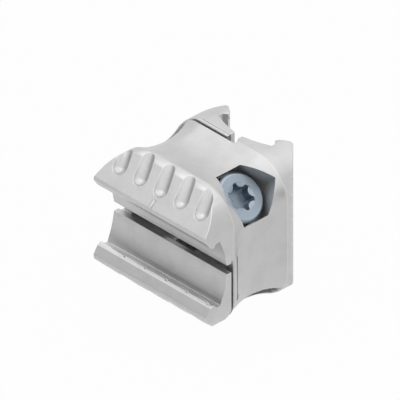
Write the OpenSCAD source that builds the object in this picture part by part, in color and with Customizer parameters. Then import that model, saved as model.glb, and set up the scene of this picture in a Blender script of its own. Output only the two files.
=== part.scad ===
// Cross connector for two grooved round tubes that pass each other at a right angle.
// Two equal die-cast halves hook into the tubes' grooves and are drawn together by one screw.
// X runs along the front tube, Z along the rear tube and Y from the front tube to the rear one.
// The origin is the middle of the connector, on the screw's axis.

/* [Tubes] */
// Outer diameter of each tube
tube_d = 30; // [28:0.5:34]
// Room between a tube and its seat, on the radius
tube_clear = 0.25; // [0.1:0.05:0.5]

/* [Casting] */
// Length of each jaw along its tube
span = 30; // [28:0.5:36]
// Distance between the tips of the front and the rear jaws
depth = 28; // [27:0.25:30]
// Radius of the rounded corners, seen along Y
corner_r = 8; // [6:0.5:9]
// Depth of the waist that runs round the middle
waist = 1.6; // [0.8:0.1:2]
// Width of the waist along Y
waist_w = 13.6; // [12:0.2:14]
// Slope of the jaws' outer faces
face_slope = 45; // [40:1:48]
// Radius of the crest above each outer face
crest_r = 2.5; // [1.5, 2.5]
// Distance from the middle to the bottom of each seat
seat_y = 8.75; // [8.5:0.05:9]
// Thickness of the wall behind each seat
wall_t = 1.7; // [1.5:0.05:1.9]
// Running gap between one half's core and the other half's walls
slide_clear = 0.5; // [0.3:0.05:0.7]
// Bevel on the free edges of the walls
edge_bevel = 0.5; // [0.2:0.1:0.7]
// Bevel on the core's edges, beside the other half's walls
core_bevel = 0.6; // [0.2:0.1:1]
// Bevel on the ends of the walls, beside the other half's core
wall_bevel = 0.5; // [0.2:0.1:1]
// Width of the relief in the core, behind the gap between the walls
relief_w = 4; // [3:0.5:5]
// Depth of that relief
relief_depth = 2.5; // [1.5:0.1:2.8]
// Wall that closes each end of the relief
relief_end = 2.5; // [2:0.1:4]

/* [Jaw lips] */
// Opening between the two lips of a jaw pair
lip_opening = 12.2; // [11.6:0.1:13]
// Height of the blunt tip of each lip
tip_land = 0.75; // [0.4:0.05:1]
// Height from the lip's edge to its blunt tip
lip_rise = 2.1; // [1.8:0.1:2.4]
// Width of the lip's slanted front face
lip_w = 1.2; // [0.9:0.1:1.4]
// Width of the small bevel on the lip's edge
lip_bevel_w = 0.8; // [0.5:0.1:1]
// Height of that bevel
lip_bevel_h = 0.45; // [0.3:0.05:0.6]
// Depth of the groove behind the lip
hook_depth = 0.9; // [0.6:0.05:1.2]
// Lean of the groove's wall on the lip's side
hook_lean = 37; // [30:1:45]
// Lean of the groove's wall on the seat's side
seat_lean = 17; // [10:1:30]
// Height of the seat's end above the lip's edge
seat_rise = 0.1; // [0:0.05:0.3]

/* [Finger flutes] */
// Flutes on each outer face
flutes = 5; // [3:2:5]
// Spacing of the flutes
flute_pitch = 5.4; // [4.8:0.1:5.6]
// Width of a flute on the face
flute_w = 3.2; // [2.6:0.1:3.8]
// Depth of a flute at its lower end
flute_depth = 1.1; // [0.8:0.1:1.4]
// Distance from the jaw's tip to a flute's lower end, up the face
flute_start = 2.4; // [2:0.1:3]
// Sideways lean of the flutes
flute_lean = 11; // [0:1:15]
// Slope at which the flutes rise out of the face
flute_rise = 6; // [4:1:8]

/* [Screw and nut] */
// Thread diameter
thread_d = 6; // [5:0.5:6]
// Head diameter
head_d = 10; // [9:0.5:10]
// Head height
head_h = 3.9; // [3:0.1:4.5]
// Bevel round the top of the head
head_bevel = 0.6; // [0.3:0.1:1]
// Length below the head
screw_l = 25; // [24:1:30]
// Bevel at the tip of the thread
tip_bevel = 0.8; // [0.4:0.1:1.2]
// Socket size, across its lobes
socket_d = 5.6; // [5.4:0.05:5.8]
// Socket size, across the hollows between its lobes
socket_inner_d = 3.95; // [3.8:0.05:4.1]
// Radius of the socket's lobes
socket_lobe_r = 0.45; // [0.4:0.01:0.5]
// Depth of the socket
socket_depth = 2.4; // [1.8:0.1:2.6]
// Depth of the countersink round the socket
socket_sink = 0.45; // [0.2:0.05:0.6]
// Width of the nut across flats
nut_af = 10; // [9:0.5:10]
// Height of the nut
nut_h = 5.2; // [4:0.1:5.6]
// Slope of the bevel on the nut's corners
nut_bevel_slope = 30; // [20:5:40]
// Room round the nut in its pocket, on each flat
pocket_clear = 0.3; // [0.2:0.05:0.4]
// Distance from the middle to the floor of each pocket
pocket_floor = 9.9; // [9.4:0.1:10.4]
// Room under the screw's head, so that it turns freely
head_clear = 0.05; // [0.05:0.05:0.2]
// Room round the thread in the castings, on the diameter
hole_clear = 0.6; // [0.4:0.1:0.8]
// Room round the thread in the nut, on the diameter
thread_clear = 0.2; // [0.15:0.05:0.3]

/* [Clamping] */
// Gap between the two halves' walls, along X and Z
jaw_gap = 1.9; // [1.8:0.1:2.4]
// Gap between the two halves' cores, along the screw
core_gap = 2.8; // [2.7:0.1:3.4]

/* [Hidden] */
$fn = 96;

half = span / 2;
tip_y = depth / 2;
wall_y = seat_y - wall_t;
core_y = wall_y - slide_clear;
wall_z = jaw_gap / 2;
seat_r = tube_d / 2 + tube_clear;
corner_c = half - corner_r;
waist_r = (pow(waist_w / 2, 2) + waist * waist) / (2 * waist);

// The screw's axis lies halfway between the two tubes.
screw_tilt = 45;
screw_axis = [sin(screw_tilt), 0, cos(screw_tilt)];

// The jaw's profile, as heights z above the seat's middle and distances y from the origin.
lip_z = lip_opening / 2;
lip_top_y = tip_y - lip_w;
lip_y = lip_top_y - lip_bevel_w;
tip_z = lip_z + lip_rise;
groove_z = lip_z + hook_depth;
seat_end_z = lip_z + seat_rise;
seat_end_y = seat_y + seat_r - sqrt(seat_r * seat_r - seat_end_z * seat_end_z);
groove_lip_y = lip_y - hook_depth * tan(hook_lean);
groove_seat_y = seat_end_y + (hook_depth - seat_rise) * tan(seat_lean);

// The sloped outer face, from the top of the blunt tip to its crest.
face_z = tip_z + tip_land;
face_l = (half - face_z) / sin(face_slope);
crest_y = tip_y - (half - face_z) / tan(face_slope);

// Each flute is a round-ended cut whose centre line floats above the face.
flute_r = (pow(flute_w / 2, 2) + flute_depth * flute_depth) / (2 * flute_depth);
flute_lift = flute_r - flute_depth;

pocket_af = nut_af + 2 * pocket_clear;
hole_d = thread_d + hole_clear;
bore_d = thread_d + thread_clear;
far = 3 * span;

// A profile drawn as [y, z], drawn out along X.
module along_x(length) {
    rotate([90, 0, 90]) linear_extrude(length, center = true) children();
}

// Turns a piece that stands on Z so that it stands along the screw.
module along_screw() {
    rotate([0, screw_tilt, 0]) children();
}

// Everything above a plane that faces along the screw, at a distance from the origin.
module beyond(distance) {
    along_screw() translate([-far / 2, -far / 2, distance]) cube(far);
}

// A hexagonal prism with two corners along Y.
module hex_prism(across_flats, height) {
    rotate(30) cylinder(h = height, d = across_flats / cos(30), $fn = 6);
}

// Half of a waisted outline: the edge at the given radius with the waist cut into it.
module waisted_strip(radius) {
    difference() {
        translate([0, -tip_y]) square([radius, depth]);
        translate([radius - waist + waist_r, 0]) circle(waist_r, $fn = 180);
    }
}

// A rounded square seen along Y, waisted in the middle: the outer form of both halves.
module outer_form() {
    for (turn = [0 : 90 : 270]) rotate([0, turn, 0]) {
        along_x(2 * corner_c) rotate(90) mirror([0, 1]) waisted_strip(half);
        translate([corner_c, 0, corner_c]) rotate([-90, 0, 0]) rotate([0, 0, -90])
            rotate_extrude(angle = 90) waisted_strip(corner_r);
    }
}

// The core in section: it fills the room between the other half's walls, with bevelled edges.
module core_section() {
    bevel_y = core_y - core_bevel;
    bevel_z = half - core_bevel;
    polygon([
        [-core_y, -bevel_z], [-bevel_y, -half], [bevel_y, -half], [core_y, -bevel_z],
        [core_y, bevel_z], [bevel_y, half], [-bevel_y, half], [-core_y, bevel_z]
    ]);
}

// The relief behind the front gap, which lets the other half's wall edges pass.
module seam_relief() {
    relief_x = half - relief_end;
    translate([-relief_x, -wall_y, -relief_w / 2])
        cube([2 * relief_x, slide_clear + relief_depth, relief_w]);
}

// The front jaw in section: the blunt tip, the lip, its groove, the seat wall and the sloped face.
module jaw_section() {
    difference() {
        polygon([
            [-tip_y, face_z], [-tip_y, tip_z], [-lip_top_y, lip_z + lip_bevel_h], [-lip_y, lip_z],
            [-groove_lip_y, groove_z], [-groove_seat_y, groove_z], [-seat_end_y, seat_end_z],
            [-seat_y, wall_z + edge_bevel], [-seat_y + edge_bevel, wall_z],
            [-wall_y - edge_bevel, wall_z], [-wall_y, wall_z + edge_bevel],
            [-wall_y, half], [-crest_y, half]
        ]);
        intersection() {
            translate([-seat_y - seat_r, 0]) circle(seat_r, $fn = 180);
            translate([-seat_y - seat_r, 0]) square([2 * seat_r, seat_end_z]);
        }
    }
}

// Plan of the front jaw: its ends are bevelled where they pass the other half's core.
module jaw_plan() {
    bevel_x = half - wall_bevel;
    bevel_y = wall_y + wall_bevel;
    polygon([
        [-half, -tip_y], [half, -tip_y], [half, -bevel_y],
        [bevel_x, -wall_y], [-bevel_x, -wall_y], [-half, -bevel_y]
    ]);
}

// Upper limit of the front jaw: its sloped face with the rounded crest, then the top.
module face_limit() {
    crest = [-crest_y, half];
    crest_run = crest_r * tan(face_slope / 2);
    crest_low = crest - crest_run * [cos(face_slope), sin(face_slope)];
    crest_high = crest + [crest_run, 0];
    centre = crest_high - [0, crest_r];
    difference() {
        polygon([[-tip_y, -half], [-tip_y, face_z], crest, [tip_y, half], [tip_y, -half]]);
        difference() {
            polygon([crest_low, crest, crest_high, centre]);
            translate(centre) circle(crest_r);
        }
    }
}

// Round-ended cuts that lean about the middle of the face and run out over its crest.
module face_flutes() {
    first = -(flutes - 1) / 2 * flute_pitch;
    lower_end = flute_start + flute_w / 2 - face_l / 2;
    for (i = [0 : flutes - 1])
        translate([first + i * flute_pitch, -tip_y, face_z]) rotate([face_slope, 0, 0])
            translate([0, face_l / 2, flute_lift]) rotate(flute_lean) translate([0, lower_end, 0])
                rotate([flute_rise, 0, 0]) {
                    sphere(flute_r, $fn = 48);
                    rotate([-90, 0, 0]) cylinder(h = 2 * face_l, r = flute_r, $fn = 48);
                }
}

// What each half has twice, once for each tube.
module both_jaws() {
    children();
    rotate(a = 180, v = screw_axis) children();
}

// One casting: a core behind the walls of the other half, and two jaws that are linked to it.
module clamp_half() {
    difference() {
        intersection() {
            outer_form();
            both_jaws_limit();
            union() {
                difference() {
                    intersection() {
                        along_x(span) core_section();
                        rotate([0, 90, 0]) along_x(span) core_section();
                        beyond(core_gap / 2);
                    }
                    both_jaws() seam_relief();
                }
                both_jaws() {
                    intersection() {
                        along_x(span) jaw_section();
                        linear_extrude(span, center = true) jaw_plan();
                    }
                    intersection() {
                        translate([-half, -seat_y + edge_bevel, wall_z + edge_bevel])
                            cube([span, seat_y - edge_bevel, half]);
                        beyond(core_gap / 2);
                    }
                }
            }
        }
        both_jaws() face_flutes();
        along_screw() {
            cylinder(h = far, d = hole_d, center = true);
            translate([0, 0, pocket_floor]) hex_prism(pocket_af, far);
        }
    }
}

// The space that both sloped faces of a half leave.
module both_jaws_limit() {
    intersection() {
        along_x(span) face_limit();
        rotate(a = 180, v = screw_axis) along_x(span) face_limit();
    }
}

module clamp_half_upper() {
    color("gainsboro") clamp_half();
}

module clamp_half_lower() {
    color("lightgray") rotate([0, 180, 0]) clamp_half();
}

// Six-lobed socket: lobes and hollows are arcs that meet at a tangent.
module socket_outline() {
    lobe_at = socket_d / 2 - socket_lobe_r;
    inner_r = socket_inner_d / 2;
    hollow_r = (pow(socket_lobe_r, 2) - pow(inner_r, 2) - pow(lobe_at, 2) + 2 * lobe_at * inner_r * cos(30))
        / (2 * (inner_r - lobe_at * cos(30) - socket_lobe_r));
    hollow_at = inner_r + hollow_r;
    lobe = [lobe_at, 0];
    hollow = hollow_at * [cos(30), sin(30)];
    meeting = lobe + (hollow - lobe) * socket_lobe_r / (socket_lobe_r + hollow_r);
    difference() {
        circle(norm(meeting));
        for (a = [30 : 60 : 330]) rotate(a) translate([hollow_at, 0]) circle(hollow_r);
    }
    for (a = [0 : 60 : 300]) rotate(a) translate(lobe) circle(socket_lobe_r);
}

module clamp_screw() {
    color("lightsteelblue") along_screw() translate([0, 0, pocket_floor + head_clear]) difference() {
        rotate_extrude() polygon([
            [0, head_h], [head_d / 2 - head_bevel, head_h], [head_d / 2, head_h - head_bevel],
            [head_d / 2, 0], [thread_d / 2, 0], [thread_d / 2, tip_bevel - screw_l],
            [thread_d / 2 - tip_bevel, -screw_l], [0, -screw_l]
        ]);
        translate([0, 0, head_h - socket_depth]) linear_extrude(head_h) socket_outline();
        translate([0, 0, head_h - socket_sink])
            cylinder(h = 2 * socket_sink, d1 = socket_inner_d, d2 = 2 * socket_d - socket_inner_d);
    }
}

module clamp_nut() {
    corner = nut_af / cos(30) / 2;
    bevel = (corner - nut_af / 2) * tan(nut_bevel_slope);
    color("silver") rotate([0, 180, 0]) along_screw() translate([0, 0, pocket_floor]) difference() {
        intersection() {
            hex_prism(nut_af, nut_h);
            rotate_extrude() polygon([
                [0, 0], [nut_af / 2, 0], [corner, bevel], [corner, nut_h - bevel], [nut_af / 2, nut_h], [0, nut_h]
            ]);
        }
        cylinder(h = far, d = bore_d, center = true);
    }
}

clamp_half_upper();
clamp_half_lower();
clamp_screw();
clamp_nut();
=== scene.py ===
import math

import bmesh
import bpy
from mathutils import Matrix, Vector
from mathutils.bvhtree import BVHTree


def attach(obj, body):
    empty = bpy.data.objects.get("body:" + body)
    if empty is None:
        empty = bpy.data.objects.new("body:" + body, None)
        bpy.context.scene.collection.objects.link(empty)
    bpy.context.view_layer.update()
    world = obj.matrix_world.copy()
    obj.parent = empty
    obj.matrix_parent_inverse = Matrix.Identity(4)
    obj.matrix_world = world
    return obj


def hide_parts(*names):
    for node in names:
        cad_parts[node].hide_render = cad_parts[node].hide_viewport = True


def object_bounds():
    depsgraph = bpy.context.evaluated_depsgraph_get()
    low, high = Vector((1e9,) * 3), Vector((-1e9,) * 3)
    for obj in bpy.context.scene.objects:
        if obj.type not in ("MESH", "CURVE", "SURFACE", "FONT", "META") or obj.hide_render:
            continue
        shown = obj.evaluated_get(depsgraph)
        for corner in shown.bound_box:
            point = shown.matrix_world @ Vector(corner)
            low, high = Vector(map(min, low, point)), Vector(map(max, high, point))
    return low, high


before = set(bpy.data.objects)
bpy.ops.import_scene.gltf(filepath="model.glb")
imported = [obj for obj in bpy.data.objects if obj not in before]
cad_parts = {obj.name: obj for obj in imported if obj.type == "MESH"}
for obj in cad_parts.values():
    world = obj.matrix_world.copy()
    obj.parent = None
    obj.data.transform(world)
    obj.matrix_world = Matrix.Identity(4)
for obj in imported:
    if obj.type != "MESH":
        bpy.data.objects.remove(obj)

cad_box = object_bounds()
scene = bpy.context.scene
scene.view_settings.view_transform = "Standard"

# The view: a long lens over a product table, so that near and far edges stay parallel.
# It looks down on the corner between the front jaws and the right-hand side.
AZIMUTH = math.radians(46.2)
ELEVATION = math.radians(33.1)
IMAGE_PX = 400
PX_PER_M = 5450
ORIGIN_PX = (204.5, 220.3)
STAND_OFF = 0.5
level = math.cos(ELEVATION)
toward = Vector((math.sin(AZIMUTH) * level, -math.cos(AZIMUTH) * level, math.sin(ELEVATION)))
right = Vector((math.cos(AZIMUTH), math.sin(AZIMUTH), 0))
up = toward.cross(right)
lens = bpy.data.cameras.new("product_lens")
lens.type = "ORTHO"
lens.ortho_scale = IMAGE_PX / PX_PER_M
camera = bpy.data.objects.new("product_lens", lens)
scene.collection.objects.link(camera)
middle_px = IMAGE_PX / 2
aim = (right * (middle_px - ORIGIN_PX[0]) + up * (ORIGIN_PX[1] - middle_px)) / PX_PER_M
camera.location = toward * STAND_OFF + aim
camera.rotation_euler = (math.pi / 2 - ELEVATION, 0, AZIMUTH)
scene.camera = camera


# The clamp halves: two equal pressure-die castings in a light grey alloy, tumbled to a satin skin
# that is faintly mottled, slightly polished at the edges and open at a few pores. The die leaves
# a centre mark on each slope, five small dents along each lip and thin creases beside the gaps.
class Wire:
    """A socket in a node tree. Sums and products of wires and numbers add Math nodes."""

    def __init__(self, tree, socket=None):
        self.tree = tree
        self.socket = socket

    def node(self, kind, settings=None, inputs=None, output=0):
        made = self.tree.nodes.new(kind)
        for name, value in (settings or {}).items():
            setattr(made, name, value)
        for key, value in (inputs or {}).items():
            if isinstance(value, Wire):
                self.tree.links.new(value.socket, made.inputs[key])
            else:
                made.inputs[key].default_value = value
        return Wire(self.tree, made.outputs[output])

    def maths(self, operation, first, second):
        return self.node("ShaderNodeMath", {"operation": operation}, {0: first, 1: second})

    def __add__(self, other):
        return self.maths("ADD", self, other)

    def __sub__(self, other):
        return self.maths("SUBTRACT", self, other)

    def __mul__(self, other):
        return self.maths("MULTIPLY", self, other)

    def __rsub__(self, other):
        return self.maths("SUBTRACT", other, self)

    __radd__ = __add__
    __rmul__ = __mul__


def new_finish(name):
    """A material with its Principled shader and a wire to start expressions from."""
    finish = bpy.data.materials.new(name)
    finish.use_nodes = True
    shader = finish.node_tree.nodes["Principled BSDF"]
    return finish, shader, Wire(finish.node_tree)


def feed(shader, socket, wire):
    wire.tree.links.new(wire.socket, shader.inputs[socket])


def noise(start, place, scale, detail):
    return start.node("ShaderNodeTexNoise", None, {
        "Vector": place, "Scale": scale, "Detail": detail})


def step(start, value, low, high):
    """Rises smoothly from 0 at low to 1 at high."""
    return start.node("ShaderNodeMapRange", {"interpolation_type": "SMOOTHSTEP"}, {
        "Value": value, "From Min": low, "From Max": high})


def blend_colour(start, share, first, second):
    """A mix of two colours, for which a Mix node has inputs 6 and 7 and output 2."""
    return start.node("ShaderNodeMix", {"data_type": "RGBA"}, {0: share, 6: first, 7: second}, 2)


CAST_GREY = (0.60, 0.60, 0.598, 1)
CAST_SHADE = (0.535, 0.535, 0.535, 1)
POLISHED_EDGE = (0.72, 0.72, 0.72, 1)
PORE_GREY = (0.30, 0.30, 0.30, 1)
CAST_METALLIC = 0.8
CAST_ROUGHNESS = 0.32
CAST_BUMP = 0.28
CAST_BUMP_DEPTH = 0.0001
CLOUDS_PER_M = 260
CLOUD_EDGE = (0.42, 0.68)
CLOUD_TONE = 0.5
GRAINS_PER_M = 2600
GRAIN_EDGE = (0.4, 0.75)
GRAIN_TONE = 0.3
GRAIN_HEIGHT = 0.2
SWELLS_PER_M = 650
SWELL_GLOSS = 0.12
SWELL_HEIGHT = 0.5
PORES_PER_M = 430
PORE_EDGE = (0.03, 0.13)
PORE_SHARE = (0.93, 0.95)
PORE_TONE = 0.6
PORE_DEPTH = 0.8
EDGE_POLISH = 0.5
EDGE_GLOSS = 0.05
cast_metal, shader, start = new_finish("cast_metal")
place = start.node("ShaderNodeTexCoord", output="Object")
cloud = noise(start, place, CLOUDS_PER_M, detail=3)
grain = noise(start, place, GRAINS_PER_M, detail=2)
swell = noise(start, place, SWELLS_PER_M, detail=2)
pore_spread = {"Vector": place, "Scale": PORES_PER_M}
pore_reach = start.node("ShaderNodeTexVoronoi", None, pore_spread)
pore_tint = start.node("ShaderNodeTexVoronoi", None, pore_spread, "Color")
pore_draw = start.node("ShaderNodeSeparateColor", None, {"Color": pore_tint})
pore = (1 - step(start, pore_reach, *PORE_EDGE)) * step(start, pore_draw, *PORE_SHARE)
edge = start.node("ShaderNodeAttribute", {"attribute_name": "polish"}, output="Fac")
tone = step(start, cloud, *CLOUD_EDGE) * CLOUD_TONE + step(start, grain, *GRAIN_EDGE) * GRAIN_TONE
skin_colour = blend_colour(start, tone, CAST_GREY, CAST_SHADE)
skin_colour = blend_colour(start, edge * EDGE_POLISH, skin_colour, POLISHED_EDGE)
feed(shader, "Base Color", blend_colour(start, pore * PORE_TONE, skin_colour, PORE_GREY))
feed(shader, "Roughness", CAST_ROUGHNESS + swell * SWELL_GLOSS - edge * EDGE_GLOSS)
relief = swell * SWELL_HEIGHT + grain * GRAIN_HEIGHT - pore * PORE_DEPTH
feed(shader, "Normal", start.node("ShaderNodeBump", None, {
    "Strength": CAST_BUMP, "Distance": CAST_BUMP_DEPTH, "Height": relief}))
shader.inputs["Metallic"].default_value = CAST_METALLIC


SAME_POINT = 1e-6
SLIVER = 1e-7
FLAT_ANGLE = math.radians(0.3)
CORNER_ANGLE = math.radians(24)
CREASE_ANGLE = math.radians(38)
STRAY_STEPS = 3


def merged_copy(node):
    bm = bmesh.new()
    bm.from_mesh(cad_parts[node].data)
    bmesh.ops.remove_doubles(bm, verts=bm.verts, dist=SAME_POINT)
    bmesh.ops.dissolve_limit(bm, angle_limit=FLAT_ANGLE, verts=bm.verts, edges=bm.edges)
    return bm


def sharp_edges(faces):
    return {e for face in faces for e in face.edges if e.calc_face_angle(0) > CORNER_ANGLE}


def wear(bm, corners, radius):
    """Wears those edges of a solid round. The attribute polish marks what stands proud of them.

    Loose ends of edges are left sharp, and what the bevel throws off the solid is put back on it.
    """
    polish = bm.faces.layers.float.get("polish") or bm.faces.layers.float.new("polish")
    for _ in range(STRAY_STEPS):
        corners -= {
            e for e in corners for v in e.verts if len(corners.intersection(v.link_edges)) == 1}
    surface = BVHTree.FromBMesh(bm)
    rounds = bmesh.ops.bevel(
        bm, geom=[e for e in bm.edges if e in corners], offset=radius, offset_type="OFFSET",
        affect="EDGES", segments=2, profile=0.5, material=-1)
    for face in rounds["faces"]:
        face[polish] = float(sum(e.is_convex for e in face.edges) * 2 > len(face.edges))
    for vertex in bm.verts:
        nearest, _, _, stray = surface.find_nearest(vertex.co)
        if stray > radius:
            vertex.co = nearest


def to_object(bm, name):
    mesh = bpy.data.meshes.new(name)
    bm.to_mesh(mesh)
    bm.free()
    made = bpy.data.objects.new(name, mesh)
    scene.collection.objects.link(made)
    return made


def apply_modifiers(piece):
    finished = piece.evaluated_get(bpy.context.evaluated_depsgraph_get())
    piece.data = bpy.data.meshes.new_from_object(finished)
    piece.modifiers.clear()


def to_piece(bm, name, cutter=None):
    """An object with that mesh, less the cutter, shaded so that its flats look flat."""
    piece = to_object(bm, name)
    if cutter:
        cut = piece.modifiers.new("cut", "BOOLEAN")
        cut.operation = "DIFFERENCE"
        cut.solver = "MANIFOLD"
        cut.object = cutter
        whole = piece.data
        apply_modifiers(piece)
        if len(piece.data.polygons) < len(whole.polygons):  # A failed cut can leave nothing.
            piece.data = whole
        bpy.data.objects.remove(cutter)
    bm = bmesh.new()
    bm.from_mesh(piece.data)
    bmesh.ops.dissolve_degenerate(bm, edges=bm.edges, dist=SLIVER)
    bm.to_mesh(piece.data)
    bm.free()
    piece.data.shade_smooth()
    piece.data.set_sharp_from_angle(angle=CREASE_ANGLE)
    piece.modifiers.new("flats", "WEIGHTED_NORMAL").keep_sharp = True
    apply_modifiers(piece)
    piece.data.name = name
    return piece


def dress(piece, node, body, finish):
    piece.data.materials.clear()
    piece.data.materials.append(finish)
    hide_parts(node)
    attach(piece, body)


CAST_EDGE = 0.00011
LIP_DENTS = 5
DENT_PITCH = 0.0055
DENT_MIDDLE = -0.0027
DENT_RADIUS = 0.00034
LIP_EDGE = Vector((0, -0.0122, 0.0062))
MARK_RADIUS = 0.0005
MARK_LENGTH = 0.0019
MARK_MIDDLE = Vector((0, -0.0135, 0.0098))
SLOPE_TURN = Matrix.Rotation(math.radians(-45), 4, "X")
CORE_CREASE = Vector((0.0144, -0.0054, -0.0036))
CORE_CREASE_SIZE = (0.0006, 0.00022, 0.0098)
WALL_CREASE = Vector((0.007, 0.0074, -0.015))
WALL_CREASE_SIZE = (0.0118, 0.0002, 0.0004)
SEAT_Y = -0.00875
HALF_GAP = 0.00095
EDGE_BEVEL = 0.0005
SEAT_EDGE = Vector((0, SEAT_Y + EDGE_BEVEL, HALF_GAP))
SEAT_EDGE_FILL = 0.8
SEAT_EDGE_SHIFT = Vector((0, -SEAT_EDGE_FILL * EDGE_BEVEL, 0))
SAME_EDGE = 0.00002
POCKET_REACH = 0.009
POCKET_EDGE = 0.00003
ALONG_SCREW = 0.01
FACING_Y = 0.95
SCREW_TILT = math.radians(45)
screw_axis = Vector((math.sin(SCREW_TILT), 0, math.cos(SCREW_TILT)))


def pocket_walls(bm):
    """The flats of the six-sided pocket, which run along the screw."""
    return [
        f for f in bm.faces
        if abs(f.normal.dot(screw_axis)) < ALONG_SCREW and abs(f.normal.y) < FACING_Y
        and f.calc_center_median().cross(screw_axis).length < POCKET_REACH]


front_to_rear = Matrix(((0, 0, 1), (0, -1, 0), (1, 0, 0)))
upper_to_lower = Matrix(((-1, 0, 0), (0, 1, 0), (0, 0, -1)))
for side, turned in (("upper", Matrix.Identity(3)), ("lower", upper_to_lower)):
    bm = bmesh.new()
    for jaw in (turned.to_4x4(), (turned @ front_to_rear).to_4x4()):
        bmesh.ops.create_cone(
            bm, cap_ends=True, segments=16, radius1=MARK_RADIUS, radius2=MARK_RADIUS,
            depth=MARK_LENGTH, matrix=jaw @ Matrix.Translation(MARK_MIDDLE) @ SLOPE_TURN)
        for number in range(LIP_DENTS):
            offset = DENT_MIDDLE + (number - LIP_DENTS // 2) * DENT_PITCH
            spot = LIP_EDGE + Vector((offset, 0, 0))
            bmesh.ops.create_icosphere(
                bm, subdivisions=2, radius=DENT_RADIUS, matrix=jaw @ Matrix.Translation(spot))
    for middle, size in ((CORE_CREASE, CORE_CREASE_SIZE), (WALL_CREASE, WALL_CREASE_SIZE)):
        stretch = Matrix.Diagonal((*size, 1))
        bmesh.ops.create_cube(
            bm, size=1, matrix=turned.to_4x4() @ Matrix.Translation(middle) @ stretch)
    die_marks = to_object(bm, "die_marks")
    node = f"clamp_half_{side}"
    bm = merged_copy(node)
    for jaw in (turned, turned @ front_to_rear):
        for vertex in bm.verts:
            there = jaw.transposed() @ vertex.co
            if (there.yz - SEAT_EDGE.yz).length < SAME_EDGE:
                vertex.co += jaw @ SEAT_EDGE_SHIFT
    wear(bm, sharp_edges(bm.faces) - sharp_edges(pocket_walls(bm)), CAST_EDGE)
    wear(bm, sharp_edges(pocket_walls(bm)), POCKET_EDGE)
    casting = to_piece(bm, f"casting_{side}", die_marks)
    dress(casting, node, f"{side}_half", cast_metal)

# The screw and nut: cold-headed steel with a satin, bluish zinc plate.
# The screw's thread is rolled, and runs through both castings into the nut.
# The nut is held by its flats in the pocket of the lower half.
ZINC = (0.36, 0.42, 0.48, 1)
ZINC_SHADE = (0.29, 0.35, 0.41, 1)
RUBBED_ZINC = (0.62, 0.68, 0.74, 1)
# Painted shade: a dark colour mixed into the plate inside the drive socket.
SOCKET_PAINTED_SHADE = (0.12, 0.15, 0.18, 1)
ZINC_METALLIC = 0.85
ZINC_ROUGHNESS = 0.28
ZINC_BUMP = 0.15
ZINC_BUMP_DEPTH = 0.00003
ZINC_CLOUDS_PER_M = 420
ZINC_CLOUD_TONE = 0.7
ZINC_CLOUD_GLOSS = 0.14
ZINC_CLOUD_HEIGHT = 0.6
ZINC_GRAINS_PER_M = 5200
ZINC_GRAIN_TONE = 0.2
HEAD_SEAT = 0.01
SOCKET_REACH = 0.0029
SOCKET_EDGE = (0.0026, SOCKET_REACH)
RECESS_STARTS = 0.0003
RECESS_FULL = 0.0008
RECESS_ENDS = 0.0005
SOCKET_SHADE_TONE = 0.35
head_top = max(v.co.dot(screw_axis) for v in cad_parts["clamp_screw"].data.vertices)
zinc_plate, shader, start = new_finish("zinc_plate")
place = start.node("ShaderNodeTexCoord", output="Object")
cloud = noise(start, place, ZINC_CLOUDS_PER_M, detail=3)
grain = noise(start, place, ZINC_GRAINS_PER_M, detail=2)
edge = start.node("ShaderNodeAttribute", {"attribute_name": "polish"}, output="Fac")
tone = cloud * ZINC_CLOUD_TONE + grain * ZINC_GRAIN_TONE
plate = blend_colour(start, tone, ZINC, ZINC_SHADE)
height = start.node("ShaderNodeVectorMath", {"operation": "DOT_PRODUCT"}, {
    0: place, 1: screw_axis}, "Value")
across = start.node("ShaderNodeVectorMath", {"operation": "CROSS_PRODUCT"}, {
    0: place, 1: screw_axis})
reach = start.node("ShaderNodeVectorMath", {"operation": "LENGTH"}, {0: across}, "Value")
# Painted shade: inside the drive socket, from just below its rim down to the head's seat, the
# plate's colour is darkened where the socket's walls shade it.
below_rim = 1 - step(start, height, head_top - RECESS_FULL, head_top - RECESS_STARTS)
above_seat = step(start, height, HEAD_SEAT, HEAD_SEAT + RECESS_ENDS)
socket_painted_shade = below_rim * above_seat * (1 - step(start, reach, *SOCKET_EDGE))
plate = blend_colour(start, socket_painted_shade * SOCKET_SHADE_TONE, plate, SOCKET_PAINTED_SHADE)
feed(shader, "Base Color", blend_colour(start, edge * EDGE_POLISH, plate, RUBBED_ZINC))
feed(shader, "Roughness", ZINC_ROUGHNESS + cloud * ZINC_CLOUD_GLOSS)
feed(shader, "Normal", start.node("ShaderNodeBump", None, {
    "Strength": ZINC_BUMP, "Distance": ZINC_BUMP_DEPTH,
    "Height": grain + cloud * ZINC_CLOUD_HEIGHT}))
shader.inputs["Metallic"].default_value = ZINC_METALLIC

SCREW_TIP = -0.01505
THREAD_PITCH = 0.001
THREAD_CREST = 0.00296
THREAD_ROOT = 0.00245
CREST_FLAT = 0.00012
TIP_RADIUS = 0.0022
STEPS_A_TURN = 32
SPARE_TURNS = 2
STEEL_EDGE = 0.00006
SINK_DEPTH = 0.00046
SINK_SHARE = 0.45
bm = merged_copy("clamp_screw")
for vertex in bm.verts:
    depth = head_top - vertex.co.dot(screw_axis)
    if 0 < depth < SINK_DEPTH and vertex.co.cross(screw_axis).length < SOCKET_REACH:
        vertex.co += screw_axis * depth * (1 - SINK_SHARE)
wear(bm, sharp_edges(bm.faces), STEEL_EDGE)
bmesh.ops.bisect_plane(
    bm, geom=bm.verts[:] + bm.edges[:] + bm.faces[:], plane_co=screw_axis * HEAD_SEAT,
    plane_no=screw_axis, clear_inner=True)
bmesh.ops.holes_fill(bm, edges=[e for e in bm.edges if e.is_boundary])
head_verts = set(bm.verts)

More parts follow.
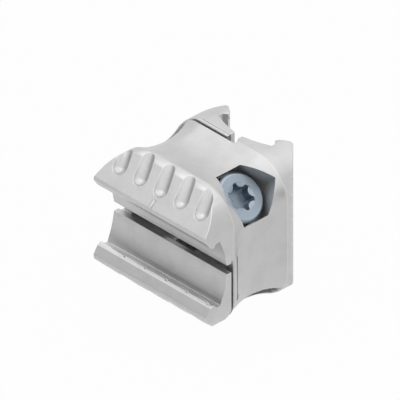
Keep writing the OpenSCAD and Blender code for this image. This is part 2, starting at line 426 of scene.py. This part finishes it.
turns = math.ceil((HEAD_SEAT - SCREW_TIP) / THREAD_PITCH) + SPARE_TURNS
flank = (THREAD_PITCH - CREST_FLAT) / 2
low = SCREW_TIP - THREAD_PITCH
corners = [(THREAD_ROOT, low), (THREAD_CREST, low + flank),
           (THREAD_CREST, low + flank + CREST_FLAT), (THREAD_ROOT, low + THREAD_PITCH)]
profile = [bm.verts.new((radius, 0, height)) for radius, height in corners]
ridge = [bm.edges.new(pair) for pair in zip(profile, profile[1:])]
bmesh.ops.spin(
    bm, geom=profile + ridge, cent=(0, 0, 0), axis=(0, 0, 1),
    dvec=(0, 0, THREAD_PITCH / STEPS_A_TURN), angle=turns * math.tau,
    steps=turns * STEPS_A_TURN, use_merge=False)
thread_verts = [v for v in bm.verts if v not in head_verts]
bmesh.ops.remove_doubles(bm, verts=thread_verts, dist=SAME_POINT)


def of_thread(parts):
    return [part for part in parts if not head_verts.intersection(part.verts)]


for height, outward in ((SCREW_TIP, -1), (HEAD_SEAT + THREAD_PITCH / 2, 1)):
    thread_verts = [v for v in bm.verts if v not in head_verts]
    bmesh.ops.bisect_plane(
        bm, geom=thread_verts + of_thread(bm.edges) + of_thread(bm.faces),
        plane_co=(0, 0, height), plane_no=(0, 0, outward), clear_outer=True)
bmesh.ops.holes_fill(bm, edges=[e for e in bm.edges if e.is_boundary])
thread_verts = [v for v in bm.verts if v not in head_verts]
for vertex in thread_verts:
    limit = TIP_RADIUS + vertex.co.z - SCREW_TIP
    radius = vertex.co.xy.length
    if radius > limit:
        vertex.co.xy *= limit / radius
bmesh.ops.rotate(
    bm, verts=thread_verts, cent=(0, 0, 0), matrix=Matrix.Rotation(SCREW_TILT, 3, "Y"))
bmesh.ops.recalc_face_normals(bm, faces=of_thread(bm.faces))
dress(to_piece(bm, "screw"), "clamp_screw", "screw", zinc_plate)
bm = merged_copy("clamp_nut")
wear(bm, sharp_edges(bm.faces), STEEL_EDGE)
dress(to_piece(bm, "nut"), "clamp_nut", "lower_half", zinc_plate)

# The table and light: a white sweep under a large softbox, with two small ones at the front.
# The sweep is white to the lens and keeps a faint shadow where the connector stands. A low grey
# drape round the front of the table, outside the picture, gives the metal a dark horizon.
FLOOR_HALF = 3.0
SWEEP_MATT = (0.9, 0.9, 0.9, 1)
SWEEP_ROUGHNESS = 0.9
SEEN_WHITE = 0.97
PURE_WHITE = {"Color": (1, 1, 1, 1), "Strength": 1.0}
bm = bmesh.new()
bmesh.ops.create_grid(bm, x_segments=1, y_segments=1, size=FLOOR_HALF)
bmesh.ops.translate(bm, verts=bm.verts, vec=(0, 0, cad_box[0].z))
sweep = to_object(bm, "sweep")


def plainly_seen(start):
    """1 where the lens, a shiny face or a clear one looks, and 0 where light only falls."""
    seen = start.node("ShaderNodeLightPath", output="Is Camera Ray")
    mirrored = start.node("ShaderNodeLightPath", output="Is Glossy Ray")
    through = start.node("ShaderNodeLightPath", output="Is Transmission Ray")
    return start.maths("MINIMUM", seen + mirrored + through, 1.0)


sweep_white, shader, start = new_finish("sweep_white")
shader.inputs["Base Color"].default_value = SWEEP_MATT
shader.inputs["Roughness"].default_value = SWEEP_ROUGHNESS
glow = start.node("ShaderNodeEmission", None, PURE_WHITE)
matt = Wire(start.tree, shader.outputs["BSDF"])
mixed = start.node("ShaderNodeMixShader", None, {
    0: plainly_seen(start) * SEEN_WHITE, 1: matt, 2: glow})
start.tree.links.new(mixed.socket, start.tree.nodes["Material Output"].inputs["Surface"])
sweep.data.materials.append(sweep_white)

DRAPE_REACH = 0.6
DRAPE_HEIGHT = 0.18
DRAPE_GREY = (0.35, 0.35, 0.35, 1)
bm = bmesh.new()
hem = [bm.verts.new((-DRAPE_REACH, 0, cad_box[0].z + height)) for height in (0, DRAPE_HEIGHT)]
bmesh.ops.spin(
    bm, geom=hem + [bm.edges.new(hem)], cent=(0, 0, 0), axis=(0, 0, 1), angle=math.pi, steps=32,
    use_merge=False)
drape = to_object(bm, "drape")
drape.visible_camera = False
drape_grey, shader, start = new_finish("drape_grey")
shader.inputs["Base Color"].default_value = DRAPE_GREY
shader.inputs["Roughness"].default_value = 1.0
drape.data.materials.append(drape_grey)

AMBIENT = 0.35
world = bpy.data.worlds.new("studio")
scene.world = world
world.use_nodes = True
air = Wire(world.node_tree)
plain = air.node("ShaderNodeBackground", None, {"Color": (1, 1, 1, 1), "Strength": AMBIENT})
white = air.node("ShaderNodeBackground", None, PURE_WHITE)
mixed = air.node("ShaderNodeMixShader", None, {0: plainly_seen(air), 1: plain, 2: white})
air.tree.links.new(mixed.socket, air.tree.nodes["World Output"].inputs["Surface"])


def softbox(name, place, size, power):
    """A square lamp of that many metres and watts, turned to the connector."""
    lamp = bpy.data.lights.new(name, "AREA")
    lamp.size = size
    lamp.energy = power
    box = bpy.data.objects.new(name, lamp)
    scene.collection.objects.link(box)
    box.location = place
    box.rotation_euler = (-Vector(place)).to_track_quat("-Z", "Y").to_euler()


softbox("overhead", place=(0, 0, 0.6), size=1.1, power=1.9)
softbox("left_front", place=(-0.2, -0.25, 0.55), size=0.3, power=0.2)
softbox("right_front", place=(0.5, -0.15, 0.3), size=0.3, power=0.1)
